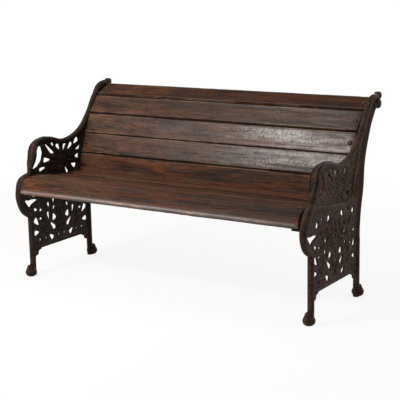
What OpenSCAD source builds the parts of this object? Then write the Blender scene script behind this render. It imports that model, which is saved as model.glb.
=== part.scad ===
// Cast iron garden bench with wooden boards: two pierced foliate end castings carry nine boards.
// Millimetres, +X along the bench, the front faces -Y, +Z up, origin on the ground under the middle

/* [Overall] */
// Distance between the centre planes of the two end castings
casting_spacing = 1440; // [1100:10:1800]
// Depth from the front of the seat bulge to the back of the top scroll
overall_depth = 715; // [690:5:740]
// Height of the top of the arm rest
arm_height = 635; // [615:5:660]
// Height of the seat boards at the back of the seat
seat_height = 441; // [430:1:452]

/* [Boards] */
// Width of a flat board
board_width = 95; // [90:1:98]
// Thickness of a flat board
board_thickness = 22; // [18:1:25]
// Narrowest gap between two boards
board_gap = 1.5; // [1:0.5:4]
// Radius along the board edges
board_edge = 3; // [1:0.5:5]
// Clearance between a board's end and the casting's rim
end_gap = 2; // [1:0.5:4]
// Radius of the front board's rolled nose
nose_radius = 62; // [56:1:66]

/* [Casting] */
// Diameter of the round bars of the rim, the legs and the arm
bar_diameter = 28; // [26:1:30]
// Thickness of the pierced web
web_thickness = 9; // [7:1:12]
// Distance between the two legs, centre to centre
leg_spacing = 419; // [405:1:430]
// Height of the web's lower edge above the ground
web_clearance = 118; // [105:1:130]
// Thickness of the ledge under the boards
ledge_thickness = 9; // [7:1:12]
// Reach of the ledge from the casting's centre plane
ledge_reach = 52; // [46:1:60]
// Diameter of a pad foot
foot_diameter = 53; // [46:1:60]
// Height of a pad foot
foot_height = 52; // [44:1:60]

/* [Fasteners] */
// Diameter of the bolts
bolt_diameter = 8; // [6:1:10]
// Diameter of the domed bolt heads
head_diameter = 16; // [14:1:18]
// Height of the domed bolt heads
head_height = 4.5; // [3:0.5:6]
// Diameter of the washers
washer_diameter = 18; // [16:1:20]
// Width of the hex nuts across flats
nut_width = 13; // [11:1:15]
// Distance from the casting's centre plane to a bolt
bolt_inset = 36; // [32:1:40]

/* [Part] */
// Piece to build

/* [Hidden] */
$fn = 64;

bar = bar_diameter / 2;
rim_proud = 5;
bead = 11;
bulge_reach = 83;
leg_front = -overall_depth / 2 + bulge_reach;
leg_back = leg_front + leg_spacing;
board_length = casting_spacing - bar_diameter - 2 * end_gap;
bore = bolt_diameter + 0.5;
washer_thickness = 1.6;
nut_height = 6.5;
bolt_spare = 4;
head_pocket = 0.6;

// Plane geometry, with x forward to back and y up
function unit(v) = v / norm(v);
function left_of(v) = [-v[1], v[0]];
function along(a) = [cos(a), sin(a)];
function turned(v, a) = [v[0] * cos(a) - v[1] * sin(a), v[0] * sin(a) + v[1] * cos(a)];
function last(list) = list[len(list) - 1];

// A smooth path runs through its points as pairs of arcs that share a tangent
function heading(p, i, first, end) =
    i == 0 ? unit(first) :
    i == len(p) - 1 ? unit(end) :
    let(a = p[i] - p[i - 1], b = p[i + 1] - p[i])
    unit(a / (a * a) + b / (b * b));
function arc_reach(v, s, k) =
    k < 0.000001 ? v * v / (2 * (v * s)) : (-(v * s) + sqrt(pow(v * s, 2) + 2 * k * (v * v))) / (2 * k);
function meeting(p, t, q, u) =
    let(v = q - p, s = t + u, k = 1 - t * u, d = arc_reach(v, s, k))
    (p + q + d * (t - u)) / 2;
function arc_side(p, t, q) = (q - p) * left_of(t);
function is_straight(p, t, q) = abs(arc_side(p, t, q)) < 0.002 * norm(q - p);
function arc_radius(p, t, q) = (q - p) * (q - p) / (2 * arc_side(p, t, q));
function arc_angle(p, t, q) = 2 * asin(min(1, norm(q - p) / (2 * abs(arc_radius(p, t, q)))));
function arc_point(p, t, q, f) =
    is_straight(p, t, q) ? p + f * (q - p) :
    let(r = arc_radius(p, t, q), c = p + r * left_of(t))
    c + turned(p - c, sign(r) * f * arc_angle(p, t, q));
function arc_end_heading(p, t, q) = is_straight(p, t, q) ? t :
    turned(t, sign(arc_radius(p, t, q)) * arc_angle(p, t, q));

// Every arc of a path as [start, heading, end]
function path_arcs(p, first, end) = [
    for (i = [0 : len(p) - 2])
        let(t = heading(p, i, first, end), u = heading(p, i + 1, first, end))
        let(m = meeting(p[i], t, p[i + 1], u))
        for (a = [[p[i], t, m], [m, arc_end_heading(p[i], t, m), p[i + 1]]]) a
];
function path_points(arcs, steps) = concat(
    [for (a = arcs, f = [0 : steps - 1]) arc_point(a[0], a[1], a[2], f / steps)],
    [last(arcs)[2]]
);

// The boards: each has a lower or rear corner of its face, and a direction along its face.
// Where two back boards meet at an angle, the gap widens towards the face.
back_lean = [76, 68, 67, 51.5, 27];
seat_rise = [0, 7, 10];
function joint_trim(turn) = board_gap / 2 + max(0, board_thickness * tan(turn / 2));
function back_trim_low(i) = i == 0 ? 0 : joint_trim(back_lean[i - 1] - back_lean[i]);
function back_trim_high(i) = i == 4 ? 0 : joint_trim(back_lean[i] - back_lean[i + 1]);
rear_drop = 11;
seat_depth = 342.5;
back_start = [leg_front + seat_depth, seat_height - rear_drop];
function back_joint(i) = i == 0 ? back_start :
    back_joint(i - 1)
    + (back_trim_low(i - 1) + board_width + back_trim_high(i - 1)) * along(back_lean[i - 1]);
seat_start = back_start + [tan(90 - back_lean[0]) * rear_drop - 6, rear_drop];
function seat_joint(i) = i == 0 ? seat_start :
    seat_joint(i - 1)
    + ((i == 1 ? 0 : board_gap / 2) + board_width + board_gap / 2) * along(180 - seat_rise[i - 1]);

// A board frame is [corner, angle of the face, side that the face looks to]
function back_frame(i) =
    [back_joint(i) + back_trim_low(i) * along(back_lean[i]), back_lean[i], 1];
function seat_frame(i) =
    [seat_joint(i) + (i == 0 ? 0 : board_gap / 2) * along(180 - seat_rise[i]), 180 - seat_rise[i], -1];
function face_normal(f) = f[2] * left_of(along(f[1]));
function on_face(f, s, h) = f[0] + s * along(f[1]) + h * face_normal(f);
flat_frames = [
    back_frame(4), back_frame(3), back_frame(2), back_frame(1), back_frame(0),
    seat_frame(0), seat_frame(1), seat_frame(2)
];

// The front board: its rear edge follows the last seat board, its nose rolls over to the front
nose_top = last(flat_frames)[0] + (board_width + board_gap) * along(last(flat_frames)[1]);
front_height = 72;
rear_slope = 38;
nose_front = -overall_depth / 2 + 6;
nose_centre = [nose_front + nose_radius, nose_top[1] + 1 - nose_radius];
nose_bottom = nose_top[1] - front_height;
nose_step = nose_top[0] - rear_slope;
front_frame = [[nose_centre[0], nose_centre[1] + nose_radius], 180, -1];
front_depth = nose_centre[1] + nose_radius - nose_bottom;

// Rim paths, all along the centre line of the bar
function behind(i, s, depth) = on_face(back_frame(i), s, -depth);
function face_middle(i, depth) = behind(i, board_width / 2, depth);
knob_radius = 16;
scroll_radius = 21;
scroll_high = [overall_depth / 2 - knob_radius, back_joint(5)[1] + 5];
scroll_low = scroll_high + [-14, -33];
arm_top = arm_height - bar;
arm_points = [
    [leg_front + 12, seat_height + 44],
    [leg_front + 34, arm_top - 72],
    [leg_front + 47, arm_top - 25],
    [leg_front + 94, arm_top],
    [leg_front + 150, arm_top - 4],
    [leg_front + 245, arm_top - 27],
    [leg_front + 315, arm_top - 17],
    [leg_front + 390, arm_top + 19],
    behind(3, -6, bar - rim_proud),
    behind(3, board_width - 4, 2),
    behind(4, 42, -17),
    scroll_high
];
arm_arcs = path_arcs(arm_points, [-0.2, 1], [1, 0.2]);
front_leg_top = seat_height - 160;
rear_leg_top = seat_height - 179;
belly_points = [
    [leg_front, front_leg_top],
    [leg_front - 50, front_leg_top + 38],
    [-overall_depth / 2 + bar, front_leg_top + 100],
    [leg_front - 41, seat_height + 7],
    [leg_front + 8, seat_height + 34]
];
belly_arcs = path_arcs(belly_points, [-0.75, 0.66], [1, 0.25]);
post_points = [
    [leg_back, rear_leg_top],
    [leg_back + 15, seat_height - 41],
    face_middle(0, 97),
    behind(1, board_width, 68),
    behind(2, board_width, 64),
    behind(3, board_width - 10, 48),
    scroll_low
];
post_arcs = path_arcs(post_points, [0, 1], [1, 0.1]);
seat_bead_points = [
    behind(3, 0, bar - rim_proud + 2),
    behind(2, 0, bead - 3),
    behind(1, 0, bead - 3),
    behind(0, 28, bead - 3),
    on_face(seat_frame(0), 32, 3 - bead),
    on_face(seat_frame(1), 20, 3 - bead),
    on_face(seat_frame(2), 20, 3 - bead),
    [nose_centre[0] + 12, nose_centre[1] + nose_radius - 6]
];
seat_bead_arcs = path_arcs(seat_bead_points, -along(58), [-1, 0]);

// A solid lofted along points, its elliptical sections square to the path
module loft_along(p, depths, widths, sides = 12) {
    n = len(p);
    function way(i) = unit(p[min(i + 1, n - 1)] - p[max(i - 1, 0)]);
    rings = [
        for (i = [0 : n - 1], k = [0 : sides - 1])
            let(a = 360 * k / sides, side = depths[i] * cos(a) * left_of(way(i)))
            [p[i][0] + side[0], p[i][1] + side[1], widths[i] * sin(a)]
    ];
    walls = [
        for (i = [0 : n - 2], k = [0 : sides - 1])
            let(a = i * sides + k, b = i * sides + (k + 1) % sides)
            for (f = [[b, a, b + sides], [b + sides, a, a + sides]]) f
    ];
    caps = [[for (k = [0 : sides - 1]) k], [for (k = [sides - 1 : -1 : 0]) (n - 1) * sides + k]];
    polyhedron(points = rings, faces = concat(walls, caps));
}

// A round bar along a path
module bar_along(arcs, width) {
    p = path_points(arcs, 2);
    loft_along(p, [for (i = p) width], [for (i = p) width], 10);
}

// A pierced opening in the web, the gap between two leaves: pointed at its start, with two
// corners at its end. Lengths along it and half widths are fractions of its length and width.
gap_stations = [-0.54, -0.22, 0.16, 0.42, 0.56];
gap_spread = [0, 0.26, 0.47, 0.58, 0.3];
module opening(x, y, length, width, direction) {
    n = len(gap_stations) - 1;
    translate([x, y])
        rotate(direction)
            polygon(concat(
                [for (i = [0 : n]) [gap_stations[i] * length, -gap_spread[i] * width]],
                [for (i = [n : -1 : 1]) [gap_stations[i] * length, gap_spread[i] * width]]
            ));
}

// Upper panel, under the arm: openings radiate from a leafy centre.
// Rows hold direction from the centre, distance, length and width.
panel_centre = [leg_front + 237, arm_height - 125];
rays = [
    [112, 61, 46, 22], [72, 58, 46, 21], [43, 78, 42, 20], [35, 126, 38, 24],
    [17, 126, 48, 15], [0, 112, 40, 24], [-25, 88, 36, 22], [-62, 58, 42, 13],
    [128, 100, 26, 13], [173, 107, 48, 20], [189, 140, 46, 15],
    [34, 194, 14, 9]
];
long_ray = [-90, 63];
module upper_openings() {
    for (r = rays) {
        place = panel_centre + r[1] * along(r[0]);
        opening(place[0], place[1], r[2], r[3], r[0]);
    }
    opening(panel_centre[0] + long_ray[0], panel_centre[1] + long_ray[1], 88, 16, -46);
}

// Lower panel, between the legs: openings in mirrored pairs.
// Rows hold distance from the middle, height, length, width and direction.
panel_middle = (leg_front + leg_back) / 2;
pairs = [
    [170, 244, 42, 24, 50], [172, 195, 34, 22, 0], [140, 257, 20, 11, 0],
    [153, 155, 14, 10, 90], [111, 155, 12, 9, 90], [74, 158, 34, 20, 220], [20, 155, 12, 9, 90],
    [88, 257, 40, 14, 80], [50, 251, 32, 26, 250], [61, 210, 48, 18, 227], [25, 223, 26, 14, 222],
    [84, 310, 26, 14, 70], [50, 322, 28, 13, 100], [172, 304, 26, 13, 20], [138, 296, 18, 13, 30],
    [50, 289, 24, 12, 125], [80, 352, 26, 11, 110],
    [64, 394, 32, 22, 120], [116, 405, 18, 12, 60], [162, 397, 28, 22, 270]
];
front_gap = [[-40, 83], [-8, 42], [10, 56], [52, 70], [10, 77], [-12, 75]];
module lower_openings() {
    for (r = pairs) {
        opening(panel_middle - r[0], r[1], r[2], r[3], 180 - r[4]);
        opening(panel_middle + r[0], r[1], r[2], r[3], r[4]);
    }
    opening(panel_middle, 411, 13, 11, 90);
    polygon([for (p = front_gap) [leg_front, front_leg_top] + p]);
}

// The crescent between the arm leaf and its inner stem
arm_loop = [
    [leg_front + 26, seat_height + 52], [leg_front + 42, arm_top - 92], [leg_front + 56, arm_top - 54],
    [leg_front + 72, arm_top - 28], [leg_front + 90, arm_top - 26], [leg_front + 100, arm_top - 60],
    [leg_front + 88, arm_top - 94], [leg_front + 62, arm_top - 116]
];

// A leaf in relief on both faces of the web, from its root to its tip, sharp along its midrib
leaf_relief = 5;
module leaf(root, tip, width, bend = 0) {
    stations = [0, 0.16, 0.42, 0.74, 1];
    spread = [0.3, 0.8, 1, 0.62, 0.08];
    rise = [-0.3, 0.7, 1, 0.8, -0.5];
    loft_along(
        [for (t = stations) root + t * (tip - root) + bend * sin(180 * t) * left_of(unit(tip - root))],
        width / 2 * spread,
        [for (r = rise) web_thickness / 2 + leaf_relief * r],
        4
    );
}

// Rows hold direction from the panel's centre, where the leaf starts and ends, width and bend
upper_leaves = [
    [92, 22, 90, 17, 0], [57, 24, 98, 16, 0], [26, 25, 112, 16, 3], [8, 28, 126, 13, 0],
    [-13, 28, 122, 24, -4], [-44, 22, 96, 22, 0], [-82, 20, 66, 22, 4], [-112, 20, 70, 24, -4],
    [-142, 22, 84, 26, 0], [181, 32, 124, 16, 0], [160, 26, 128, 22, -4], [122, 24, 78, 15, 0]
];
module upper_relief() {
    for (r = upper_leaves)
        leaf(panel_centre + r[1] * along(r[0]), panel_centre + r[2] * along(r[0]), r[3], r[4]);
    leaf([leg_front + 64, seat_height + 52], [leg_front + 106, arm_top - 20], 13, -22);
    leaf(panel_centre + [152, -78], panel_centre + [186, 38], 26, 5);
}

// Rows hold distance from the middle and height of the root, the same of the tip, width and bend
side_leaves = [
    [10, 166, 30, 244, 20, 0], [20, 172, 104, 182, 14, 2], [100, 182, 152, 218, 24, 4],
    [108, 205, 122, 288, 26, 6], [68, 236, 70, 300, 16, 0], [112, 268, 186, 278, 20, 3],
    [108, 284, 116, 344, 22, -3], [66, 300, 64, 370, 18, 0], [96, 338, 92, 398, 20, 2],
    [26, 256, 34, 344, 22, 0], [34, 330, 40, 402, 22, 0], [122, 334, 140, 392, 26, 0]
];
middle_leaves = [[150, 214, 22], [218, 292, 24], [300, 392, 26]];
module lower_relief() {
    for (side = [-1, 1], r = side_leaves)
        leaf(
            [panel_middle + side * r[0], r[1]], [panel_middle + side * r[2], r[3]], r[4], -side * r[5]
        );
    for (r = middle_leaves)
        leaf([panel_middle, r[0]], [panel_middle, r[1]], r[2]);
    rail = [[leg_front, web_clearance + 15], [leg_back, web_clearance + 15]];
    rail_width = web_thickness / 2 + 4;
    loft_along(rail, [6, 6], [rail_width, rail_width], 8);
}

bracket = 48;
module web_outline() {
    polygon(concat(
        [[leg_front, web_clearance - bracket]],
        [for (i = [0 : len(belly_arcs) * 2 - 1]) path_points(belly_arcs, 2)[i]],
        [for (i = [1 : len(arm_arcs) * 2]) path_points(arm_arcs, 2)[i]],
        [for (i = [len(post_arcs) * 2 : -1 : 0]) path_points(post_arcs, 2)[i]],
        [
            [leg_back, web_clearance - bracket],
            [leg_back - bar, web_clearance - bracket],
            [leg_back - bar - bracket, web_clearance],
            [leg_front + bar + bracket, web_clearance],
            [leg_front + bar, web_clearance - bracket]
        ]
    ));
}

module web() {
    linear_extrude(height = web_thickness, center = true)
        offset(r = 1)
            offset(delta = -1)
                difference() {
                    web_outline();
                    upper_openings();
                    lower_openings();
                    polygon(arm_loop);
                    for (s = [0.3, 0.75])
                        for (x = [leg_front + bar + s * bracket, leg_back - bar - s * bracket])
                            translate([x, web_clearance - (1 - s) * bracket - 5])
                                circle(r = 10);
                }
}

// The ledge follows the underside of every board and ends in a lug under the front board
module ledge_plate(f, from, to, drop) {
    linear_extrude(height = ledge_reach)
        polygon([
            on_face(f, from, -drop), on_face(f, to, -drop),
            on_face(f, to, -drop - ledge_thickness), on_face(f, from, -drop - ledge_thickness)
        ]);
}
module ledge() {
    for (f = flat_frames)
        ledge_plate(f, 0, board_width, board_thickness);
    ledge_plate(front_frame, -30, 52, front_depth);
}
module bolt_bores() {
    for (f = flat_frames)
        bolt_axis(f, board_width / 2, bolt_inset)
            translate([0, 0, -board_thickness - ledge_thickness - 1])
                cylinder(r = bore / 2, h = ledge_thickness + 2);
    bolt_axis(front_frame, 0, bolt_inset)
        translate([0, 0, -front_depth - ledge_thickness - 1])
            cylinder(r = bore / 2, h = ledge_thickness + 2);
}

// Puts its children on a board's face, with z out of the face, at a distance inward
module bolt_axis(f, s, inward) {
    p = on_face(f, s, 0);
    n = face_normal(f);
    translate([p[0], p[1], inward])
        rotate([0, 0, atan2(n[1], n[0])])
            rotate([0, 90, 0])
                children();
}

// The post ends in a scroll of two rounded lobes, a small knob above a wider curl
knob_width = 28;
scroll_width = 36;
module rounded_disc(radius, height, edge) {
    rotate_extrude() {
        square([radius - edge, height / 2]);
        square([radius, height / 2 - edge]);
        translate([radius - edge, height / 2 - edge])
            circle(r = edge);
    }
}
module scroll_lobe(p, radius, width) {
    for (side = [0, 1])
        translate([p[0], p[1], 0])
            mirror([0, 0, side]) {
                rounded_disc(radius, width, radius * 0.42);
                rounded_disc(radius * 0.4, width + 6, 3);
            }
}

// A pad foot, rounded at the ground and drawn in towards the leg
foot_round = 20;
foot_reach = 16;
module foot(x) {
    side = foot_diameter / 2;
    translate([x, 0, 0])
        rotate([-90, 0, 0])
            rotate_extrude()
                intersection() {
                    union() {
                        translate([side - foot_round, foot_round])
                            circle(r = foot_round);
                        polygon([
                            [0, 0], [side - foot_round, 0], [side - 3, foot_round], [side - 3, 28],
                            [bar + 1, foot_height], [0, foot_height]
                        ]);
                    }
                    square([foot_diameter, foot_height]);
                }
}

module leg(x, height) {
    translate([x, height, 0])
        rotate([90, 0, 0])
            cylinder(r = bar, h = height - 2);
}

// The leaf that wraps the front of the arm, and the one that runs down the seat bulge
module arm_leaf() {
    p = path_points([for (i = [0 : 5]) arm_arcs[i]], 2);
    n = len(p) - 1;
    loft_along(p,
        [for (i = [0 : n]) bar * (0.73 + 0.23 * sin(180 * i / n))],
        [for (i = [0 : n]) bar * (0.78 + 0.76 * pow(sin(180 * pow(i / n, 0.8)), 1.3))]);
}
module belly_leaf() {
    p = path_points([for (i = [3 : 7]) belly_arcs[i]], 2);
    n = len(p) - 1;
    translate([0, 0, -5])
        loft_along(p,
            [for (i = [0 : n]) bar * (0.8 + 0.3 * sin(180 * i / n))],
            [for (i = [0 : n]) bar * (0.8 + 0.52 * pow(sin(180 * pow(i / n, 1.2)), 1.2))]);
}

module casting() {
    color("dimgray")
        difference() {
            union() {
                web();
                leg(leg_front, belly_points[0][1]);
                leg(leg_back, post_points[0][1]);
                foot(leg_front - foot_reach);
                foot(leg_back + foot_reach);
                bar_along(belly_arcs, bar);
                bar_along(arm_arcs, bar);
                bar_along(post_arcs, bar - 1);
                bar_along(seat_bead_arcs, bead);
                scroll_lobe(scroll_high, knob_radius, knob_width);
                scroll_lobe(scroll_low, scroll_radius, scroll_width);
                arm_leaf();
                belly_leaf();
                upper_relief();
                lower_relief();
                ledge();
            }
            bolt_bores();
        }
}

// Turns the side view's plane upright: x to the back, y up, z along the bench
module upright() {
    rotate([90, 0, 90])
        children();
}
module at_left() {
    translate([-casting_spacing / 2, 0, 0])
        upright()
            children();
}
module at_right() {
    translate([casting_spacing / 2, 0, 0])
        upright()
            mirror([0, 0, 1])
                children();
}

// A flat board with eased edges, its face up at y = 0
module board_section() {
    e = board_edge;
    translate([e, -board_thickness])
        square([board_width - 2 * e, board_thickness]);
    translate([0, e - board_thickness])
        square([board_width, board_thickness - 2 * e]);
    for (x = [e, board_width - e], y = [-e, e - board_thickness])
        translate([x, y])
            circle(r = e);
}
module flat_board(i) {
    f = flat_frames[i];
    color("saddlebrown")
        difference() {
            upright()
                translate([f[0][0], f[0][1], 0])
                    rotate([0, 0, f[1]])
                        mirror([0, f[2] < 0 ? 1 : 0, 0])
                            linear_extrude(height = board_length, center = true)
                                board_section();
            for (side = [0, 1])
                mirror([side, 0, 0])
                    at_left()
                        bolt_axis(f, board_width / 2, bolt_inset)
                            translate([0, 0, -board_thickness - 1])
                                cylinder(r = bore / 2, h = board_thickness + 2);
        }
}

module front_section() {
    rear = nose_top[0];
    intersection() {
        polygon([
            [nose_front - 5, nose_top[1] + 5], [rear, nose_top[1] + 5],
            [rear, nose_top[1] - board_thickness], [nose_step, nose_bottom],
            [nose_front + 4, nose_bottom], [nose_front - 5, nose_bottom + 9]
        ]);
        union() {
            translate(nose_centre)
                circle(r = nose_radius);
            polygon([
                [nose_centre[0], nose_centre[1] + nose_radius],
                [rear - 3, nose_top[1]], [rear, nose_top[1] - 3],
                [rear, nose_bottom - 1], [nose_centre[0] - 50, nose_bottom - 1], nose_centre
            ]);
        }
    }
}
module front_board() {
    color("sienna")
        difference() {
            upright()
                linear_extrude(height = board_length, center = true)
                    front_section();
            for (side = [0, 1])
                mirror([side, 0, 0])
                    at_left()
                        bolt_axis(front_frame, 0, bolt_inset) {
                            translate([0, 0, -front_depth - 1])
                                cylinder(r = bore / 2, h = front_depth + 2);
                            translate([0, 0, -head_pocket])
                                cylinder(r = head_diameter / 2 + 0.5, h = 2);
                        }
        }
}

// Fasteners stand on a bolt axis, with z = 0 on the board's face
module bolt(grip) {
    dome = (pow(head_diameter / 2, 2) + head_height * head_height) / (2 * head_height);
    shank = grip + washer_thickness + nut_height + bolt_spare;
    color("gray") {
        rotate_extrude()
            intersection() {
                translate([0, head_height - dome])
                    circle(r = dome);
                square([head_diameter, head_height + 1]);
            }
        translate([0, 0, -shank])
            cylinder(r = bolt_diameter / 2, h = shank);
    }
}
module washer(grip) {
    color("silver")
        translate([0, 0, -grip - washer_thickness])
            difference() {
                cylinder(r = washer_diameter / 2, h = washer_thickness);
                translate([0, 0, -1])
                    cylinder(r = bolt_diameter / 2 + 0.2, h = washer_thickness + 2);
            }
}
module nut(grip) {
    color("silver")
        translate([0, 0, -grip - washer_thickness - nut_height])
            difference() {
                cylinder(r = nut_width / sqrt(3), h = nut_height, $fn = 6);
                translate([0, 0, -1])
                    cylinder(r = bolt_diameter / 2, h = nut_height + 2);
            }
}
module both_ends(i) {
    f = i < len(flat_frames) ? flat_frames[i] : front_frame;
    for (side = [0, 1])
        mirror([side, 0, 0])
            at_left()
                bolt_axis(f, i < len(flat_frames) ? board_width / 2 : 0, bolt_inset)
                    children();
}
flat_grip = board_thickness + ledge_thickness;
front_grip = front_depth + ledge_thickness;
function grip_of(i) = i < len(flat_frames) ? flat_grip : front_grip;
function head_sink(i) = i < len(flat_frames) ? 0 : head_pocket;
module bolts(i) {
    both_ends(i)
        translate([0, 0, -head_sink(i)])
            bolt(grip_of(i) - head_sink(i));
}
module washers(i) {
    both_ends(i)
        washer(grip_of(i));
}
module nuts(i) {
    both_ends(i)
        nut(grip_of(i));
}

at_left() casting();  // end_casting_left
at_right() casting();  // end_casting_right
flat_board(0);  // back_board_1
flat_board(1);  // back_board_2
flat_board(2);  // back_board_3
flat_board(3);  // back_board_4
flat_board(4);  // lumbar_board
flat_board(5);  // seat_board_1
flat_board(6);  // seat_board_2
flat_board(7);  // seat_board_3
front_board();
bolts(0);  // bolts_back_board_1
bolts(1);  // bolts_back_board_2
bolts(2);  // bolts_back_board_3
bolts(3);  // bolts_back_board_4
bolts(4);  // bolts_lumbar_board
bolts(5);  // bolts_seat_board_1
bolts(6);  // bolts_seat_board_2
bolts(7);  // bolts_seat_board_3
bolts(8);  // bolts_front_board
washers(0);  // washers_back_board_1
washers(1);  // washers_back_board_2
washers(2);  // washers_back_board_3
washers(3);  // washers_back_board_4
washers(4);  // washers_lumbar_board
washers(5);  // washers_seat_board_1
washers(6);  // washers_seat_board_2
washers(7);  // washers_seat_board_3
washers(8);  // washers_front_board
nuts(0);  // nuts_back_board_1
nuts(1);  // nuts_back_board_2
nuts(2);  // nuts_back_board_3
nuts(3);  // nuts_back_board_4
nuts(4);  // nuts_lumbar_board
nuts(5);  // nuts_seat_board_1
nuts(6);  // nuts_seat_board_2
nuts(7);  // nuts_seat_board_3
nuts(8);  // nuts_front_board
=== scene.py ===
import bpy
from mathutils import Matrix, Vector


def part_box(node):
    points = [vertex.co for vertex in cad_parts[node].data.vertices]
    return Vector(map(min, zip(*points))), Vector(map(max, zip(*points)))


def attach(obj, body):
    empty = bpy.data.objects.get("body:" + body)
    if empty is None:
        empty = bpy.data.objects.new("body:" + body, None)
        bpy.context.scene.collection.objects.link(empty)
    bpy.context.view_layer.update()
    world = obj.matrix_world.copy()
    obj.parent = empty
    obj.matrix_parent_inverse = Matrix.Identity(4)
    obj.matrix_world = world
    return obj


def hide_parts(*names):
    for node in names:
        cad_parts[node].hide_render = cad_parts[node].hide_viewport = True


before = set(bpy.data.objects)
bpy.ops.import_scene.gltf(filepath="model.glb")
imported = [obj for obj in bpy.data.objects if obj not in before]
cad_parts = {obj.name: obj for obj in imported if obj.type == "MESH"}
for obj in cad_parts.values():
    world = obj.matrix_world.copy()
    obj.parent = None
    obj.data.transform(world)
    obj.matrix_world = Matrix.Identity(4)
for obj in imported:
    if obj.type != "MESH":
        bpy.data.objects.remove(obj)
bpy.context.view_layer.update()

import math

import bpy
import numpy as np
from bpy.props import FloatProperty, FloatVectorProperty, IntProperty, PointerProperty
from bpy.types import Operator, Panel, PropertyGroup
from mathutils import Matrix, Vector

bl_info = {
    "name": "Cast iron garden bench",
    "version": (1, 0, 0),
    "blender": (4, 5, 0),
    "location": "3D View > Sidebar > Garden bench",
    "description": "Models and finishes a garden bench with boards between leafed end castings",
    "category": "Object",
}

BACK_BOARDS = ["back_board_1", "back_board_2", "back_board_3", "back_board_4", "lumbar_board"]
SEAT_BOARDS = ["seat_board_1", "seat_board_2", "seat_board_3"]
ALL_BOARDS = BACK_BOARDS + SEAT_BOARDS + ["front_board"]
TURN = math.tau / 360


def length_value(name, default, description):
    return FloatProperty(
        name=name, default=default, min=0, description=description, unit="LENGTH", precision=4
    )


def colour_value(name, default, description):
    return FloatVectorProperty(
        name=name, default=default, min=0, max=1, size=3, subtype="COLOR", description=description
    )


def power_value(name, default, description):
    return FloatProperty(name=name, default=default, min=0, description=description, unit="POWER")


def angle_value(name, degrees, description):
    return FloatProperty(
        name=name, default=degrees * TURN, description=description, subtype="ANGLE",
        unit="ROTATION",
    )


class BenchSizes(PropertyGroup):
    board_round: length_value("Board edge", 0.0035, "Radius along the worn edges of a board")
    board_close: length_value(
        "Board bevel", 0.0007, "How far the back of a board reaches into a gap"
    )
    lumbar_lip: length_value(
        "Lumbar lip", 0.004, "How far the lumbar board's back reaches up behind the next board"
    )
    board_wave: length_value("Board unevenness", 0.0012, "How far a planed face wanders")
    board_chips: length_value("Edge chips", 0.0022, "Depth of the dents along a board's edges")
    board_sections: IntProperty(
        name="Board sections", default=72, min=8, description="Cross sections along a board"
    )
    nose_radius: length_value("Nose radius", 0.062, "Radius of the front board's rolled nose")
    casting_plane: length_value(
        "Casting plane", 0.72, "From the middle of the bench to a casting's middle plane"
    )
    leaf_rise: length_value("Leaf rise", 0.0105, "Height of a leaf's midrib from the middle plane")
    vein_depth: length_value("Vein depth", 0.0024, "Depth of the veins in a leaf")
    vein_pitch: length_value("Vein pitch", 0.0110, "Distance between two veins")
    iron_grain: length_value("Casting grain", 0.0024, "Finest detail that the casting keeps")


class BenchColours(PropertyGroup):
    dark_wood: colour_value("Dark wood", (0.021, 0.010, 0.0065), "Dark grain of the wood")
    brown_wood: colour_value("Brown wood", (0.080, 0.041, 0.026), "Light grain of the wood")
    red_wood: colour_value("Red wood", (0.120, 0.036, 0.013), "Where the varnish has a red tone")
    # Wood rubbed bare on the edges, which also serves as painted highlight along the rounded edges
    bare_wood_and_highlight: colour_value("Bare edge", (0.28, 0.185, 0.12), "Edges that are rubbed bare")
    sunned_wood: colour_value("Sunned wood", (0.120, 0.050, 0.025), "Varnish faded at the left end")
    rubbed_wood: colour_value("Rubbed wood", (0.15, 0.095, 0.068), "Scuffs in the varnish")
    split_wood: colour_value("Split wood", (0.004, 0.003, 0.002), "Dark of the fine cracks")
    # Painted shade with some dirt darkens the joints; round the bolts it is dirt
    joint_shade_and_dirt: colour_value("Joint dirt", (0.006, 0.004, 0.003), "Dirt in joints and round bolts")
    iron: colour_value("Iron", (0.0185, 0.0105, 0.0075), "Dark paint on the castings")
    # Painted shade in the hollows between the leaves
    iron_shade: colour_value("Deep iron", (0.0045, 0.0026, 0.0018), "Hollows between the leaves")
    iron_worn: colour_value("Worn iron", (0.180, 0.122, 0.084), "Paint rubbed on the raised leaves")
    rust: colour_value("Rust", (0.090, 0.034, 0.015), "Rust that shows through the paint")
    dust: colour_value("Dust", (0.043, 0.0252, 0.0165), "Brown dust in the hollows")
    bolt: colour_value("Bolts", (0.022, 0.015, 0.012), "Darkened heads of the bolts")
    zinc: colour_value("Zinc", (0.30, 0.29, 0.27), "Dull zinc of washers and nuts")
    floor: colour_value("Floor", (0.72, 0.72, 0.72), "Pale studio floor")


class BenchStudio(PropertyGroup):
    camera_place: FloatVectorProperty(
        name="Camera", default=(2.6256, -3.9830, 1.4135), size=3, subtype="TRANSLATION",
        unit="LENGTH", description="Where the camera stands",
    )
    camera_turn: angle_value(
        "Camera azimuth", 33.083, "How far round the right end the camera stands"
    )
    camera_rise: angle_value("Camera elevation", 12.261, "How far the camera looks down")
    camera_roll: angle_value("Camera roll", -1.171, "How far the camera is tipped sideways")
    camera_lens: FloatProperty(
        name="Lens", default=99.18, min=20, description="Focal length in millimetres"
    )
    key_power: power_value("Key", 66, "Softbox that shines in the back boards")
    front_power: power_value("Front", 24, "Long low light at the front left")
    high_power: power_value("High", 9, "Softbox that shines in the second board")
    top_power: power_value("Top", 16, "Wide light overhead")
    side_power: power_value("Side", 13, "Light along the right casting")
    back_power: power_value("Back", 36, "Wide light behind the bench")
    sky: FloatProperty(name="Surround", default=0.32, min=0, description="Light from all round")


def settings(group):
    return getattr(bpy.context.scene, "garden_bench_" + group)


# Objects, modes and modifiers

def work_in(mode):
    bpy.ops.object.mode_set(mode=mode)


def deselect():
    if bpy.context.mode != "OBJECT":
        work_in("OBJECT")
    bpy.ops.object.select_all(action="DESELECT")


def pick(*pieces):
    deselect()
    for piece in pieces:
        piece.select_set(True)
    bpy.context.view_layer.objects.active = pieces[0]


def named(piece, name):
    piece.name = name
    piece.data.name = name
    return piece


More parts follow.
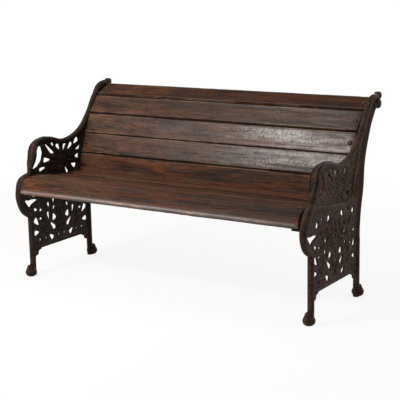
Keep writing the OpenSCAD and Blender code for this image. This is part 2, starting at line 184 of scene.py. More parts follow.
def apply_place(piece):
    pick(piece)
    bpy.ops.object.transform_apply(location=True, rotation=True, scale=True)


def apply_modifiers(piece):
    pick(piece)
    for modifier in list(piece.modifiers):
        bpy.ops.object.modifier_apply(modifier=modifier.name)


def joined(pieces, name):
    pick(*pieces)
    bpy.ops.object.join()
    return named(pieces[0], name)


def copy_of(piece, name, place=Matrix.Identity(4)):
    mesh = piece.data.copy()
    mesh.transform(place)
    made = bpy.data.objects.new(name, mesh)
    mesh.name = name
    bpy.context.scene.collection.objects.link(made)
    return made


def remove(piece):
    mesh = piece.data
    bpy.data.objects.remove(piece)
    bpy.data.meshes.remove(mesh)


def smooth_by_angle(piece, degrees):
    pick(piece)
    bpy.ops.object.shade_smooth_by_angle(angle=degrees * TURN)


def select_edges(piece, wanted):
    """Selects, in edit mode, the edges whose two ends pass the test."""
    pick(piece)
    work_in("EDIT")
    bpy.ops.mesh.select_mode(type="EDGE")
    bpy.ops.mesh.select_all(action="DESELECT")
    work_in("OBJECT")
    points = piece.data.vertices
    for edge in piece.data.edges:
        edge.select = wanted(points[edge.vertices[0]].co, points[edge.vertices[1]].co)
    work_in("EDIT")


def painted(piece, material):
    piece.data.materials.clear()
    piece.data.materials.append(material)


def dressed(piece, material, cad):
    """A finished piece gets its material, rides on the bench and stands for its CAD node."""
    painted(piece, material)
    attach(piece, "root")
    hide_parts(cad)


# Node trees

def socket_in(tree, name, kind, value=None):
    made = tree.interface.new_socket(name=name, in_out="INPUT", socket_type=kind)
    if value is not None:
        made.default_value = value


def socket_out(tree, name, kind):
    tree.interface.new_socket(name=name, in_out="OUTPUT", socket_type=kind)


def feed(tree, made, **inputs):
    """Gives a node values or other nodes' sockets, by input name or, as _0, by input number."""
    for key, value in inputs.items():
        place = int(key[1:]) if key[0] == "_" else key.replace("_", " ")
        if isinstance(value, bpy.types.NodeSocket):
            tree.links.new(value, made.inputs[place])
        else:
            made.inputs[place].default_value = value


def node(tree, kind, settings_of=(), **inputs):
    """Adds a node with its own settings and with its inputs fed."""
    made = tree.nodes.new(kind)
    for key, value in dict(settings_of).items():
        setattr(made, key, value)
    feed(tree, made, **inputs)
    return made


def maths(tree, operation, a, b=0.0, c=0.0, clamp=False):
    return node(
        tree, "ShaderNodeMath", {"operation": operation, "use_clamp": clamp}, _0=a, _1=b, _2=c
    ).outputs[0]


def times(tree, a, b, clamp=False):
    return maths(tree, "MULTIPLY", a, b, clamp=clamp)


def plus(tree, value, share, rest):
    """A share of the value, which may be a negative one, added to the rest."""
    return maths(tree, "MULTIPLY_ADD", value, share, rest)


def turned_round(tree, mask):
    """1 where the mask is 0, and 0 where it is 1."""
    return maths(tree, "SUBTRACT", 1.0, mask)


def weighted(tree, fields, shares, base=0.0):
    """The fields named in shares, each by its share, added to the base."""
    total = base
    for name, share in shares.items():
        total = plus(tree, fields[name], share, total)
    return total


def mixed(tree, factor, a, b, blend="MIX"):
    return node(
        tree, "ShaderNodeMix", {"data_type": "RGBA", "blend_type": blend}, _0=factor, _6=a, _7=b
    ).outputs[2]


def tinted(tree, colour, mask, share, towards):
    """The colour, taken towards another one by a share of the mask."""
    return mixed(tree, times(tree, mask, share), colour, rgba(towards))


def stepped(tree, value, low, high):
    """0 below low, 1 above high and a soft step between them."""
    return node(
        tree, "ShaderNodeMapRange", {"interpolation_type": "SMOOTHSTEP"},
        Value=value, From_Min=low, From_Max=high,
    ).outputs["Result"]


NOISE_MIDDLE = {"From_Min": 0.3, "From_Max": 0.7}


def spread(tree, value, low, high):
    """Stretches the middle of a noise to a range, without clamping to it."""
    return node(
        tree, "ShaderNodeMapRange", {"clamp": False},
        Value=value, To_Min=low, To_Max=high, **NOISE_MIDDLE,
    ).outputs[0]


def object_place(tree):
    return node(tree, "ShaderNodeTexCoord").outputs["Object"]


def marked(tree, name):
    """A value that the mesh carries at its vertices, such as edge_wear."""
    return node(tree, "ShaderNodeAttribute", {"attribute_name": name}).outputs["Fac"]


def noise_at(tree, place, stretch, detail, roughness, distortion=0.0):
    """Noise with stretch waves in a metre along X, Y and Z."""
    waves = node(tree, "ShaderNodeMapping", Vector=place, Scale=stretch).outputs[0]
    return node(
        tree, "ShaderNodeTexNoise",
        Vector=waves, Scale=1.0, Detail=detail, Roughness=roughness, Distortion=distortion,
    ).outputs[0]


def group_tree(name):
    """A new shader group with its input and output nodes."""
    tree = bpy.data.node_groups.new(name, "ShaderNodeTree")
    return tree, tree.nodes.new("NodeGroupInput"), tree.nodes.new("NodeGroupOutput")


def group_node(tree, name, build, **inputs):
    """A node of the shader group with this name, which is built the first time."""
    group = bpy.data.node_groups.get(name) or build(name)
    return node(tree, "ShaderNodeGroup", {"node_tree": group}, **inputs)


def scaled_colour(tree, colour, factor):
    grey = node(tree, "ShaderNodeCombineColor", Red=factor, Green=factor, Blue=factor).outputs[0]
    return mixed(tree, 1.0, colour, grey, "MULTIPLY")


# The wood's noises: waves in a metre along X, Y and Z, detail, roughness and distortion. Boards
# run along X.
WOOD_NOISES = {
    "bands": ((0.9, 11, 11), 3, 0.5, 0.3),
    "streaks": ((2.6, 46, 46), 6, 0.66, 0.5),
    "mottle": ((17, 95, 95), 5, 0.7, 0.7),
    "fibres": ((22, 420, 420), 3, 0.65),
    "crackle": ((190, 60, 60), 3, 0.6, 0.4),
    "patches": ((3.0, 24, 24), 5, 0.66, 0.6),
    "cracks": ((7.0, 160, 160), 4, 0.6, 0.2),
    "glaze": ((3.2, 34, 34), 4, 0.62, 0.2),
    "scuffs": ((12, 70, 70), 5, 0.75, 1.2),
    "sun": ((5, 30, 30), 5, 0.7),
    "highlight line": ((4.0, 9, 9), 4, 0.7),
}
# Where on its noise each of the wood's masks begins and where it is full
WOOD_MASKS = {
    "light grain": (0.36, 0.63),
    "patches": (0.44, 0.62),
    "sun": (0.40, 0.66),
    "cracks": (0.59, 0.67),
    "scuffs": (0.60, 0.74),
    "glaze": (0.34, 0.62),
    "crackle": (0.42, 0.56),
    "highlight line": (0.47, 0.58),
}
GRAIN_SHARES = {"bands": 0.4, "streaks": 0.6}
WOOD_ROUGHNESS = {"mottle": 0.22, "rubbed": 0.15}
WOOD_HEIGHT = {"mottle": 0.42, "crackle": 0.90, "fibres": 0.30, "split": -0.8}
SUNNY_LEFT = (-0.1, 0.7)
SUNNED_SHARE = 0.5
SPLIT_SHARE = 0.7
RUBBED_SHARE = 0.38
MOTTLE_TONES = (0.54, 1.50)
FIBRE_TONES = (0.80, 1.20)
FIBRE_GLOSS = (0.60, 1.30)
CRACKLE_GLOSS = 0.9
CRACKED_GLOSS = 0.5


def grain_group(name):
    """Old varnished wood along X, from two browns and a red: its colour, its gloss, which masks
    where the varnish still shines, its roughness and its height."""
    tree, given, out = group_tree(name)
    for label in ("Dark", "Brown", "Red"):
        socket_in(tree, label, "NodeSocketColor")
    socket_in(tree, "Shift", "NodeSocketVector")
    socket_in(tree, "Redness", "NodeSocketFloat", 0.3)
    socket_out(tree, "Color", "NodeSocketColor")
    for label in ("Gloss", "Roughness", "Height"):
        socket_out(tree, label, "NodeSocketFloat")
    place = object_place(tree)
    shifted = node(
        tree, "ShaderNodeVectorMath", {"operation": "ADD"}, _0=place, _1=given.outputs["Shift"]
    ).outputs[0]

    def noise(kind):
        return noise_at(tree, shifted, *WOOD_NOISES[kind])

    def mask(kind):
        return stepped(tree, noise(kind), *WOOD_MASKS[kind])

    hues = settings("colours")
    fields = {kind: noise(kind) for kind in ("bands", "streaks", "mottle", "fibres", "crackle")}
    fields["split"] = mask("cracks")
    fields["rubbed"] = mask("scuffs")

    light = stepped(tree, weighted(tree, fields, GRAIN_SHARES), *WOOD_MASKS["light grain"])
    colour = mixed(tree, light, given.outputs["Dark"], given.outputs["Brown"])
    red = times(tree, mask("patches"), given.outputs["Redness"])
    colour = mixed(tree, red, colour, given.outputs["Red"])
    x = node(tree, "ShaderNodeSeparateXYZ", Vector=place).outputs["X"]
    sunned = times(tree, stepped(tree, times(tree, x, -1.0), *SUNNY_LEFT), mask("sun"))
    colour = tinted(tree, colour, sunned, SUNNED_SHARE, hues.sunned_wood)
    colour = scaled_colour(tree, colour, spread(tree, fields["mottle"], *MOTTLE_TONES))
    colour = scaled_colour(tree, colour, spread(tree, fields["fibres"], *FIBRE_TONES))
    colour = tinted(tree, colour, fields["split"], SPLIT_SHARE, hues.split_wood)
    colour = tinted(tree, colour, fields["rubbed"], RUBBED_SHARE, hues.rubbed_wood)

    whole = stepped(tree, fields["crackle"], *WOOD_MASKS["crackle"])
    gloss = times(tree, mask("glaze"), spread(tree, fields["fibres"], *FIBRE_GLOSS))
    gloss = times(tree, gloss, plus(tree, whole, CRACKLE_GLOSS, CRACKED_GLOSS))
    feed(
        tree, out, Color=colour, Gloss=gloss,
        Roughness=weighted(tree, fields, WOOD_ROUGHNESS),
        Height=weighted(tree, fields, WOOD_HEIGHT),
    )
    return tree


WEAR_BREAK = 0.9


def wear_group(name):
    """Wear where the piece's own edge_wear attribute is high, broken up by noise: a mask."""
    tree, given, out = group_tree(name)
    socket_in(tree, "Start", "NodeSocketFloat", 0.3)
    socket_in(tree, "Full", "NodeSocketFloat", 0.9)
    socket_in(tree, "Patch Size", "NodeSocketFloat", 40.0)
    socket_out(tree, "Mask", "NodeSocketFloat")
    broken = node(
        tree, "ShaderNodeTexNoise",
        Vector=object_place(tree), Scale=given.outputs["Patch Size"], Detail=5.0, Roughness=0.65,
    ).outputs[0]
    uneven = plus(tree, broken, WEAR_BREAK, -WEAR_BREAK / 2)
    reach = maths(tree, "ADD", marked(tree, "edge_wear"), uneven)
    mask = stepped(tree, reach, given.outputs["Start"], given.outputs["Full"])
    feed(tree, out, Mask=mask)
    return tree


DUST_CLOUDS = ((16, 16, 16), 6, 0.65)
DUST_MASK = (0.38, 0.64)
DUST_OFF_EDGES = -0.6


def dust_group(name):
    """Dust and dirt in clouds, less on edges that stand proud: a mask."""
    tree, given, out = group_tree(name)
    socket_in(tree, "Amount", "NodeSocketFloat", 0.6)
    socket_out(tree, "Mask", "NodeSocketFloat")
    cloud = stepped(tree, noise_at(tree, object_place(tree), *DUST_CLOUDS), *DUST_MASK)
    flat = times(tree, cloud, plus(tree, marked(tree, "edge_wear"), DUST_OFF_EDGES, 1.0))
    mask = times(tree, flat, given.outputs["Amount"], clamp=True)
    feed(tree, out, Mask=mask)
    return tree


def rgba(colour):
    return (*colour, 1.0)


def new_material(name):
    made = bpy.data.materials.new(name)
    made.use_nodes = True
    tree = made.node_tree
    return made, tree, tree.nodes["Principled BSDF"]


def bumped(tree, height, distance, strength):
    return node(
        tree, "ShaderNodeBump", Height=height, Distance=distance, Strength=strength
    ).outputs[0]


# What a board's edge shows, by its edge_wear, which is 0 inside and 1 on the very edge: bare wood
# with painted highlight in patches, then a painted highlight line, the end of the rubbed shine, and
# painted shade with some dirt in the joint. Dirt round a bolt goes by the distance from the bolt's
# middle.
BARE_AND_HIGHLIGHT = {"Start": 0.42, "Full": 1.05, "Patch_Size": 26.0}
BARE_AND_HIGHLIGHT_SHARE = 0.5
# A painted highlight: a broken light line along each rounded edge
HIGHLIGHT_LINE = (0.30, 0.42)
HIGHLIGHT_SHARE = 0.5
SHINE_ENDS = (0.42, 0.46)
JOINT_SHADE = (0.46, 0.60)
BOLT_DIRT = (0.0095, 0.0145)
BOLT_DIRT_SHARE = 0.85
SHADE_AND_DIRT_SHARE = 0.96
# Dull and polished varnish: a value for none of it and what full polish adds
WOOD_DULLNESS = (0.50, -0.28)
WOOD_SHINE = (0.025, 0.11)
COAT_SHARE = 0.27
COAT_ROUGHNESS = 0.27
WOOD_BUMP = (0.0013, 0.9)


def wood_finish(name, shift, redness, tone, polish, rub, bolt):
    """Varnished wood: shift picks the stretch of grain, redness how much of it is reddish, tone
    how light it is, polish how much of the varnish still shines, rub how shiny its rubbed edges
    are and bolt where dirt gathers."""
    hues = settings("colours")
    made, tree, shader = new_material(name)
    dark, brown, red = [
        rgba([c * tone for c in hue]) for hue in (hues.dark_wood, hues.brown_wood, hues.red_wood)
    ]
    wood = group_node(
        tree, "wood grain", grain_group,
        Dark=dark, Brown=brown, Red=red, Shift=shift, Redness=redness,
    )
    # Bare wood in patches on the edges, partly a painted highlight on the rounded edges
    bare = group_node(tree, "edge wear", wear_group, **BARE_AND_HIGHLIGHT).outputs["Mask"]
    colour = tinted(tree, wood.outputs["Color"], bare, BARE_AND_HIGHLIGHT_SHARE, hues.bare_wood_and_highlight)
    edge = marked(tree, "edge_wear")
    place = object_place(tree)
    broken = noise_at(tree, place, *WOOD_NOISES["highlight line"])
    broken = stepped(tree, broken, *WOOD_MASKS["highlight line"])
    # Painted highlight along the rounded edge, in the bare edge colour
    worn = times(tree, broken, stepped(tree, edge, *HIGHLIGHT_LINE))
    colour = tinted(tree, colour, worn, HIGHLIGHT_SHARE, hues.bare_wood_and_highlight)

    either_end = node(tree, "ShaderNodeVectorMath", {"operation": "ABSOLUTE"}, _0=place).outputs[0]
    from_bolt = node(
        tree, "ShaderNodeVectorMath", {"operation": "DISTANCE"},
        _0=either_end, _1=[abs(c) for c in bolt],
    ).outputs["Value"]
    ring = times(tree, turned_round(tree, stepped(tree, from_bolt, *BOLT_DIRT)), BOLT_DIRT_SHARE)
    # Painted shade with some dirt in the joints, and dirt in the ring round each bolt
    dirt = maths(tree, "MAXIMUM", stepped(tree, edge, *JOINT_SHADE), ring)
    dirt = times(tree, dirt, SHADE_AND_DIRT_SHARE)
    colour = mixed(tree, dirt, colour, rgba(hues.joint_shade_and_dirt))

    dullness, dullness_change = WOOD_DULLNESS
    rough = maths(tree, "ADD", wood.outputs["Roughness"], dullness + dullness_change * polish)
    shine, shine_change = WOOD_SHINE
    rubbed = times(tree, edge, turned_round(tree, stepped(tree, edge, *SHINE_ENDS)))
    coat = times(tree, wood.outputs["Gloss"], COAT_SHARE * polish * polish)
    coat = plus(tree, rubbed, rub, coat)
    feed(
        tree, shader, Base_Color=colour, Roughness=maths(tree, "MAXIMUM", rough, dirt),
        Specular_IOR_Level=shine + shine_change * polish,
        Coat_Weight=times(tree, coat, turned_round(tree, dirt), clamp=True),
        Coat_Roughness=COAT_ROUGHNESS, Normal=bumped(tree, wood.outputs["Height"], *WOOD_BUMP),
    )
    return made


IRON_NOISES = {
    "cloud": ((10, 10, 10), 5, 0.62, 0.6),
    "lumps": ((85, 85, 85), 4, 0.65),
    "sand": ((420, 420, 420), 3, 0.6),
    "tendrils": ((24, 24, 20), 2, 0.5, 2.2),
}
IRON_DUST = 0.65
WORN_IRON = {"Start": 0.35, "Full": 1.05, "Patch_Size": 60.0}
WORN_IRON_SHARE = 0.55
HOLLOW_SHADE_SHARE = 0.85
LUMP_TONES = (0.75, 1.3)
# Rust: the heights between which it thins out, its spots, and how much of it is low and anywhere
RUST_HEIGHTS = (0.03, 0.17)
RUST_SPOTS = (0.52, 0.66)
RUST_LOW = 0.45
RUST_ANYWHERE = 0.12
# Tendrils between the leaves run where their noise is near its middle, on the web's two faces,
# which lie this far from the casting's middle plane
TENDRIL_EDGES = (0.004, 0.030)
TENDRIL_DEPTHS = (0.0070, 0.0090)
TENDRIL_SHARE = 0.30
IRON_ROUGHNESS = {"cloud": 0.30, "hollow": 0.30, "wear": -0.16}
IRON_LEAST_ROUGH = 0.36
IRON_HEIGHT = {"lumps": 1.0, "sand": 0.3, "tendrils": 0.8}
IRON_SHINE = 0.06
IRON_BUMP = (0.0020, 0.6)


def tendril_lines(tree, place, x):
    curl = noise_at(tree, place, *IRON_NOISES["tendrils"])
    off_middle = maths(tree, "ABSOLUTE", maths(tree, "SUBTRACT", curl, 0.5))
    line = turned_round(tree, stepped(tree, off_middle, *TENDRIL_EDGES))
    plane = settings("sizes").casting_plane
    depth = maths(tree, "ABSOLUTE", maths(tree, "SUBTRACT", maths(tree, "ABSOLUTE", x), plane))
    return times(tree, line, turned_round(tree, stepped(tree, depth, *TENDRIL_DEPTHS)))


def iron_finish(name, tone):
    """Dark paint on cast iron: worn leaves, brown dust, painted shade in the hollows, rust near the
    ground; tone says how light it is, and is lower on the left casting as painted shade."""
    hues = settings("colours")
    made, tree, shader = new_material(name)
    place = object_place(tree)
    axes = node(tree, "ShaderNodeSeparateXYZ", Vector=place).outputs
    fields = {
        kind: noise_at(tree, place, *IRON_NOISES[kind]) for kind in ("cloud", "lumps", "sand")
    }
    fields["hollow"] = marked(tree, "hollow")
    fields["wear"] = group_node(tree, "edge wear", wear_group, **WORN_IRON).outputs["Mask"]
    fields["tendrils"] = tendril_lines(tree, place, axes["X"])
    dust = group_node(tree, "dust on flats", dust_group, Amount=IRON_DUST).outputs["Mask"]
    low = turned_round(tree, stepped(tree, axes["Z"], *RUST_HEIGHTS))
    spots = stepped(tree, fields["lumps"], *RUST_SPOTS)
    rusty = times(tree, spots, plus(tree, low, RUST_LOW, RUST_ANYWHERE))

    colour = mixed(tree, dust, rgba(hues.iron), rgba(hues.dust))
    colour = tinted(tree, colour, fields["tendrils"], TENDRIL_SHARE, hues.iron_worn)
    colour = mixed(tree, rusty, colour, rgba(hues.rust))
    colour = tinted(tree, colour, fields["wear"], WORN_IRON_SHARE, hues.iron_worn)
    tones = spread(tree, fields["lumps"], *[limit * tone for limit in LUMP_TONES])
    colour = scaled_colour(tree, colour, tones)
    # Painted shade darkens the hollows
    colour = tinted(tree, colour, fields["hollow"], HOLLOW_SHADE_SHARE, hues.iron_shade)
    feed(
        tree, shader, Base_Color=colour,
        Roughness=weighted(tree, fields, IRON_ROUGHNESS, IRON_LEAST_ROUGH),
        Specular_IOR_Level=IRON_SHINE,
        Normal=bumped(tree, weighted(tree, fields, IRON_HEIGHT), *IRON_BUMP),
    )
    return made


METAL_SPECKS = ((260, 260, 260), 4, 0.6)
METAL_GRIME = ((90, 90, 90), 4, 0.6)
GRIME_MASK = (0.42, 0.66)
SPECK_ROUGHNESS = 0.3
METAL_BUMP = (0.0006, 0.6)


def metal_finish(name, colour, metallic, roughness, dirt):
    """Bolt, washer and nut metal, dirty and slightly pitted."""
    hues = settings("colours")
    made, tree, shader = new_material(name)
    place = object_place(tree)
    speck = noise_at(tree, place, *METAL_SPECKS)
    grime = stepped(tree, noise_at(tree, place, *METAL_GRIME), *GRIME_MASK)
    feed(
        tree, shader, Base_Color=tinted(tree, rgba(colour), grime, dirt, hues.rust),
        Roughness=plus(tree, speck, SPECK_ROUGHNESS, roughness), Metallic=metallic,
        Normal=bumped(tree, speck, *METAL_BUMP),
    )
    return made


def shared(name, build, *facts):
    return bpy.data.materials.get(name) or build(name, *facts)


# Boards

END_BEVEL = 0.0012
SAME_PLACE = 1e-5


def profile_bar(name, points, x_from, x_to, sections):
    """A bar along X with the given outline of (y, z) points, cut into sections."""
    deselect()
    bpy.ops.mesh.primitive_circle_add(vertices=len(points), radius=0.05, fill_type="NGON")
    bar = named(bpy.context.object, name)
    for corner, (y, z) in zip(bar.data.vertices, points):
        corner.co = (x_from, y, z)
    work_in("EDIT")
    bpy.ops.mesh.select_all(action="SELECT")
    bpy.ops.mesh.extrude_region_move(TRANSFORM_OT_translate={"value": (x_to - x_from, 0, 0)})
    work_in("OBJECT")
    select_edges(bar, lambda a, b: abs(a.x - b.x) > 0.5 * (x_to - x_from))
    bpy.ops.mesh.subdivide(number_cuts=sections)
    bpy.ops.mesh.select_all(action="SELECT")
    bpy.ops.mesh.normals_make_consistent(inside=False)
    work_in("OBJECT")
    ends = (x_from, x_to)
    select_edges(bar, lambda a, b: any(abs(a.x - x) + abs(b.x - x) < SAME_PLACE for x in ends))
    bpy.ops.mesh.bevel(offset=END_BEVEL, segments=2, affect="EDGES")
    work_in("OBJECT")
    return bar


def board_plane(cad):
    """A flat board's way across and out of its face, and its extent along X and both of these."""
    biggest = max(cad.data.polygons, key=lambda face: face.area)
    out = Vector((0, biggest.normal.y, biggest.normal.z)).normalized()
    if out.z - out.y < 0:
        out.negate()
    across = Vector((1, 0, 0)).cross(out)
    spans = []
    for way in (Vector((1, 0, 0)), across, out):
        reach = [way.dot(v.co) for v in cad.data.vertices]
        spans.append((min(reach), max(reach)))
    return across, out, spans


BACK_BEVEL = 0.001


def board_outline(s_span, h_span, radius, close, along=10, corner=3):
    """A flat board's outline: rounded at the face, wider by the two values of close at its back."""
    middle = (s_span[0] + s_span[1]) / 2
    half = (s_span[1] - s_span[0]) / 2
    points = []
    for side in (-1, 1):
        for i in range(corner + 1):
            angle = (90 - side * 90 * (corner - i if side < 0 else i) / corner) * TURN
            points.append((
                middle + side * (half - radius) + radius * math.cos(angle),
                h_span[1] - radius + radius * math.sin(angle),
            ))
        if side < 0:
            start, flat = middle - half + radius, 2 * (half - radius)
            points += [(start + flat * i / along, h_span[1]) for i in range(1, along)]
    for side, reach in ((1, half + close[1]), (-1, half + close[0])):
        points += [
            (middle + side * reach, h_span[0] + BACK_BEVEL),
            (middle + side * (reach - BACK_BEVEL), h_span[0]),
        ][::side]
    return points


# A board's unevenness: its texture, where it works, the size of its lumps and the level of the
# texture that stays in place
UNEVENNESS = (("board waves", "face", 0.16, 0.5), ("edge dents", "edges", 0.022, 0.62))


def weather(piece, wave, chips, at_edge):
    """Lets the faces wander and dents the edges; at_edge gives how near to an edge a vertex is
    and how much of the unevenness it takes."""
    edges = piece.vertex_groups.new(name="edges")
    face = piece.vertex_groups.new(name="face")
    worn = piece.data.attributes.new("edge_wear", "FLOAT", "POINT")
    values = [at_edge(v.co) for v in piece.data.vertices]
    worn.data.foreach_set("value", [value for value, _ in values])
    for i, (value, shown) in enumerate(values):
        if value > 0 and shown > 0:
            edges.add([i], value * shown, "REPLACE")
        if shown > 0:
            face.add([i], shown, "REPLACE")
    for (label, group, size, level), strength in zip(UNEVENNESS, (wave, chips)):
        texture = bpy.data.textures.get(label) or bpy.data.textures.new(label, "CLOUDS")
        texture.noise_scale = size
        texture.noise_depth = 2
        push = piece.modifiers.new(label, "DISPLACE")
        push.texture = texture
        push.texture_coords = "LOCAL"
        push.strength = strength
        push.mid_level = level
        push.vertex_group = group
    apply_modifiers(piece)
    piece.vertex_groups.clear()


# Each board's stretch of grain, redness, tone, polish and how shiny its rubbed edges are
BOARD_LOOKS = {
    "back_board_1": ((0.3, 1.7, 0.2), 0.72, 0.44, 0.10, 0.9),
    "back_board_2": ((4.1, 0.6, 2.3), 0.26, 0.66, 0.80, 0.5),
    "back_board_3": ((7.9, 2.2, 4.4), 0.42, 0.64, 1.00, 0.5),
    "back_board_4": ((12.2, 3.1, 1.1), 0.24, 0.52, 0.88, 0.3),
    "lumbar_board": ((16.4, 4.7, 3.6), 0.78, 0.68, 0.30, 0.0),
    "seat_board_1": ((21.3, 5.2, 2.9), 0.50, 0.88, 0.25, 0.0),
    "seat_board_2": ((25.7, 6.9, 5.1), 0.40, 0.58, 0.25, 0.0),
    "seat_board_3": ((29.6, 7.4, 0.7), 0.55, 0.90, 0.25, 0.0),
    "front_board": ((33.5, 8.8, 6.2), 0.92, 0.49, 0.32, 2.8),
}
CROWN_DEPTH = 0.001


def board_finish(name):
    """A board's varnish; the highest vertices of its bolts' heads give a bolt's middle."""
    out = board_plane(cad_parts[name])[1]
    heads = [v.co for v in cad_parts["bolts_" + name].data.vertices if v.co.x > 0]
    crown = max(out.dot(co) for co in heads)
    tops = [co for co in heads if out.dot(co) > crown - CROWN_DEPTH]
    middle = sum(tops, Vector()) / len(tops)
    return shared("varnish " + name, wood_finish, *BOARD_LOOKS[name], middle)


# How far wear, painted highlight and painted shade with dirt reach in from an edge: most edges,
# and those whose joints take a wider band of painted shade and dirt
EDGE_REACH = 0.006
SHADED_REACH = 0.014
# The hidden back of a board stays even: the height where unevenness begins and its full rise
EVEN_BACK = (0.003, 0.006)
BOARD_CREASE = 40


class BENCH_OT_flat_boards(Operator):
    """Model the eight flat boards with worn edges"""
    bl_idname = "garden_bench.flat_boards"
    bl_label = "Flat boards"

    def execute(self, context):
        sizes = settings("sizes")
        for name in BACK_BOARDS + SEAT_BOARDS:
            across, out, (x_span, s_span, h_span) = board_plane(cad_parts[name])
            close = [sizes.board_close] * 2
            # Seat boards, and the lumbar board's lower edge, take a wider band of painted shade in
            # the joint
            upper = lower = SHADED_REACH if name in SEAT_BOARDS else EDGE_REACH
            if name == "lumbar_board":
                close[0] = sizes.lumbar_lip
                lower = SHADED_REACH
            outline = [
                (p[0] * across + p[1] * out).yz
                for p in board_outline(s_span, h_span, sizes.board_round, close)
            ]
            board = profile_bar(name + "_wood", outline, *x_span, sizes.board_sections)

            def nearness(co):
                s, h = across.dot(co), out.dot(co)
                side = min((s - s_span[0]) / upper, (s_span[1] - s) / lower)
                top = min(h_span[1] - h, h - h_span[0]) / EDGE_REACH
                shown = min(1.0, max(0.0, (h - h_span[0] - EVEN_BACK[0]) / EVEN_BACK[1]))
                return shown * max(0.0, 1.0 - math.hypot(max(side, 0), max(top, 0))), shown

            weather(board, sizes.board_wave, sizes.board_chips, nearness)
            smooth_by_angle(board, BOARD_CREASE)
            dressed(board, board_finish(name), name)
        return {"FINISHED"}


# The front board's section after its nose. The rear edge goes in from the rear and down from the
# top, the underside forward from the rear foot and up from the bottom, and the nose's foot back
# from the front and up from the bottom.
NOSE_STEPS = 28
NOSE_HEEL = 0.004
TOP_STEPS = 7
TOP_FALL = 0.001
REAR_EDGE = (
    (0.003, 0.0), (0.0008, 0.0008), (0.0, 0.003), (0.0, 0.012), (0.0, 0.022), (0.010, 0.036),
    (0.022, 0.052),
)
REAR_FOOT = 0.038
UNDERSIDE = ((0.0, 0.0015), (0.004, 0.0), (0.030, 0.0), (0.055, 0.0))
NOSE_FOOT = ((0.010, 0.0), (0.004, 0.0015))
# Its wear, painted highlight and painted shade with dirt: reach at the rear edge and at the heel,
# and the shiny strip on the nose, which also takes the painted highlight line, as its angle above
# straight forward, its half width in radians and how deep it goes
REAR_REACH = 0.007
HEEL_REACH = 0.012
NOSE_STRIP = (0.06, 0.34, 0.004)
FRONT_WAVE = 1.5


def front_outline(low, high, centre, r):
    """The front board's section: the rolled nose from its heel up, the top, the rear edge and the
    underside."""
    heel = math.asin((low[2] + NOSE_HEEL - centre[1]) / r)
    outline = []
    for i in range(NOSE_STEPS + 1):
        angle = math.pi - heel - (math.pi / 2 - heel) * i / NOSE_STEPS
        outline.append((centre[0] + r * math.cos(angle), centre[1] + r * math.sin(angle)))
    rear_round = high[1] - REAR_EDGE[0][0]
    for i in range(1, TOP_STEPS):
        y = centre[0] + (rear_round - centre[0]) * i / TOP_STEPS
        outline.append((y, high[2] - TOP_FALL * i / TOP_STEPS))
    top, foot = high[2] - TOP_FALL, high[1] - REAR_FOOT
    outline += [(high[1] - back, top - down) for back, down in REAR_EDGE]
    outline += [(foot - forward, low[2] + up) for forward, up in UNDERSIDE]
    return outline + [(low[1] + back, low[2] + up) for back, up in NOSE_FOOT]


class BENCH_OT_front_board(Operator):
    """Model the thick front board with its rolled nose"""
    bl_idname = "garden_bench.front_board"
    bl_label = "Front board"

    def execute(self, context):
        sizes = settings("sizes")
        low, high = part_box("front_board")
        r = sizes.nose_radius
        centre = (low[1] + r, high[2] - r)
        outline = front_outline(low, high, centre, r)[::-1]
        board = profile_bar("front_board_wood", outline, low[0], high[0], sizes.board_sections)
        top = high[2] - TOP_FALL
        strip, half_width, skin = NOSE_STRIP

        def nearness(co):
            rear = math.hypot(co.y - high[1], co.z - top) / REAR_REACH
            heel = math.hypot(co.y - low[1] - NOSE_HEEL, co.z - low[2]) / HEEL_REACH
            nose = abs(math.atan2(co.z - centre[1], centre[0] - co.y) - strip) / half_width
            off = abs(math.hypot(co.y - centre[0], co.z - centre[1]) - r) / skin
            return max(0.0, 1 - rear, 1 - heel, SHINE_ENDS[0] * (1 - max(nose, off))), 1.0

        weather(board, sizes.board_wave * FRONT_WAVE, sizes.board_chips, nearness)
        smooth_by_angle(board, BOARD_CREASE)
        dressed(board, board_finish("front_board"), "front_board")
        return {"FINISHED"}


# End castings. Their plan is drawn in millimetres: (y, z) of the bench, and x out from the web.

MM = 1000
# Leaves round the arm panel's centre: angle, distances of the root and the tip, and width
PANEL_CENTRE = (-37.5, 510.0)
UPPER_LEAVES = [
    (92, 22, 90, 17), (57, 24, 98, 16), (26, 25, 112, 16), (8, 28, 126, 13),
    (-13, 28, 122, 24), (-44, 22, 96, 22), (-82, 20, 66, 22), (-112, 20, 70, 24),
    (-142, 22, 84, 26), (181, 32, 124, 16), (160, 26, 128, 22), (122, 24, 78, 15),
    (90, 0, 26, 15), (18, 0, 25, 15), (-54, 0, 25, 15), (-126, 0, 25, 15), (162, 0, 25, 15),
]
# Leaves on both sides of the web's upright middle: root and tip, each as the distance from the
# middle and the height, and width
PANEL_MIDDLE = -65.0
SIDE_LEAVES = [
    (10, 166, 30, 244, 20), (20, 172, 104, 182, 14), (100, 182, 152, 218, 24),
    (108, 205, 122, 288, 26), (68, 236, 70, 300, 16), (112, 268, 186, 278, 20),
    (108, 284, 116, 344, 22), (66, 300, 64, 370, 18), (96, 338, 92, 398, 20),
    (26, 256, 34, 344, 22), (34, 330, 40, 402, 22), (122, 334, 140, 392, 26),
]
# Leaves on the middle itself: heights of root and tip, and width
MIDDLE_LEAVES = [(150, 214, 22), (218, 292, 24), (300, 392, 26)]
POST_LEAF = ((114.5, 432.0), (148.5, 548.0), 26)

ARM_LINE = [
    (-262.5, 485), (-256, 517), (-240.5, 549), (-236, 573), (-227.5, 596), (-206, 613),
    (-180.5, 621), (-153, 621),
]
BELLY_LINE = [(-343.5, 381), (-335, 418), (-315.5, 448), (-292, 464), (-266.5, 475)]
POST_LINE = [
    (163.5, 420), (174, 453), (182.5, 520), (191, 590.7), (205.5, 638), (225, 680.9),
    (262, 749.4), (292, 780),
]
